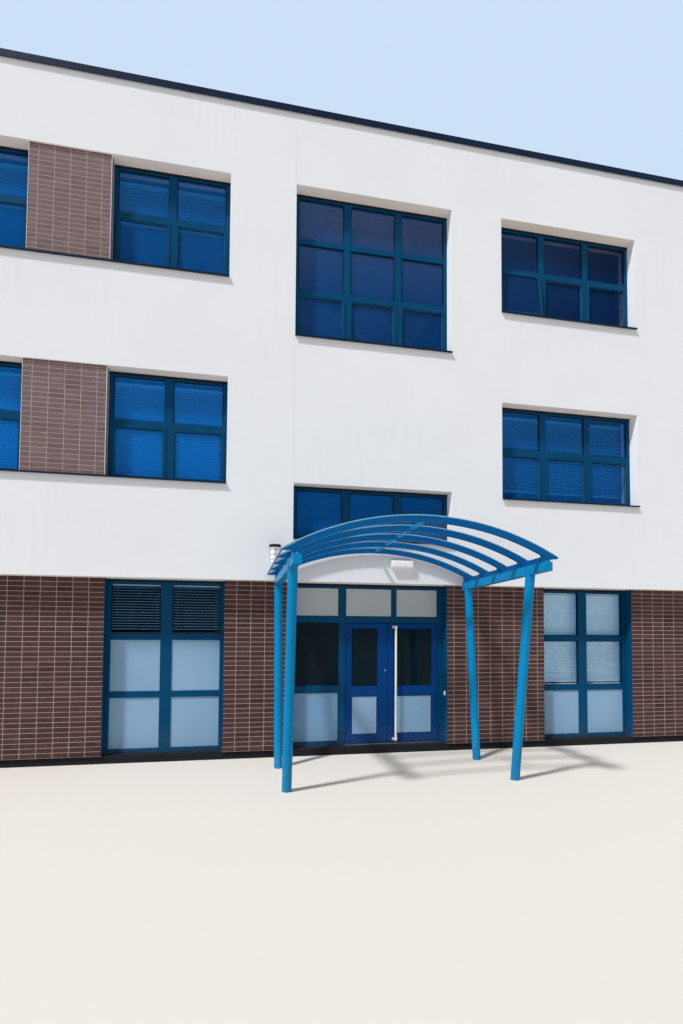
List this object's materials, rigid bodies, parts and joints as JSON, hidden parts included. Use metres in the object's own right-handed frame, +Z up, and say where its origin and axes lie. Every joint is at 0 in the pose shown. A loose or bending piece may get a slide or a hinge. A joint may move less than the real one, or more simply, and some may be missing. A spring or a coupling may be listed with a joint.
{
  "type": "three-storey school building",
  "caption": "School building with white upper storeys on a recessed brick ground floor, framed windows, double entrance doors and an arched glazed canopy on leaning posts.",
  "frame": {"origin": "on the ground at the middle of the building's plan, on the underside of the ground slab", "axes": "+Z up, the entrance front faces -Y, +X to the right seen from the front"},
  "size_m": [15.09, 12.564, 10.62],
  "materials": {
    "bare_aluminium": "satin",
    "blue_grey_panel": "satin",
    "brick": "rough",
    "canopy_blue": "satin",
    "clear_sheet": "gloss",
    "concrete": "rough",
    "dark_metal": "satin",
    "door_blue": "satin",
    "rib_blue": "satin",
    "roof_felt": "rough",
    "teal_frame": "satin",
    "white_metal": "satin",
    "white_plastic": "matte",
    "white_render": "matte",
    "window_glass": "gloss"
  },
  "bodies": {
    "building": {"back_brick_piers": "brick", "back_frames": "teal_frame", "back_glass": "window_glass", "back_wall": "white_render", "brick_panels": "brick", "canopy_beams": "canopy_blue", "canopy_edge_rails": "rib_blue", "canopy_posts": "canopy_blue", "canopy_purlins": "canopy_blue", "canopy_rib_caps": "rib_blue", "canopy_rib_seats": "rib_blue", "canopy_ribs": "rib_blue", "canopy_roof_sheet": "clear_sheet", "door_threshold": "bare_aluminium", "entrance_panels": "blue_grey_panel", "entrance_screen": "teal_frame", "entrance_side_glass": "window_glass", "first_floor_slab": "concrete", "front_brick_piers": "brick", "front_frames_first_floor": "teal_frame", "front_frames_ground_floor": "teal_frame", "front_frames_second_floor": "teal_frame", "front_glass": "window_glass", "front_wall_first_floor": "white_render", "front_wall_second_floor": "white_render", "ground_slab": "concrete", "ground_window_panels": "blue_grey_panel", "jamb_hinges": "bare_aluminium", "lantern_cap": "dark_metal", "lantern_drum": "white_plastic", "left_brick_piers": "brick", "left_frames": "teal_frame", "left_glass": "window_glass", "left_wall": "white_render", "reveal_linings": "teal_frame", "right_brick_piers": "brick", "right_frames": "teal_frame", "right_glass": "window_glass", "right_wall": "white_render", "roof_coping": "dark_metal", "roof_slab": "roof_felt", "second_floor_slab": "concrete", "vent_glass": "window_glass", "vent_sash": "teal_frame", "wall_lamp": "white_plastic", "window_sills": "dark_metal"},
    "left_door": {"left_door_leaf": "door_blue", "left_door_glass": "window_glass", "left_door_panel": "blue_grey_panel", "left_door_hinges": "bare_aluminium"},
    "right_door": {"right_door_leaf": "door_blue", "right_door_glass": "window_glass", "right_door_panel": "blue_grey_panel", "door_pull_bar": "white_metal", "right_door_hinges": "bare_aluminium"}
  },
  "joints": [
    {"name": "left_door_hinge", "type": "hinge", "parent": "building", "child": "left_door", "pos_m": [0.696, -4.61, 0.142], "axis": [0, 0, -1], "range_deg": [0, 90]},
    {"name": "right_door_hinge", "type": "hinge", "parent": "building", "child": "right_door", "pos_m": [2.328, -4.61, 0.142], "axis": [0, 0, 1], "range_deg": [0, 90]}
  ]
}
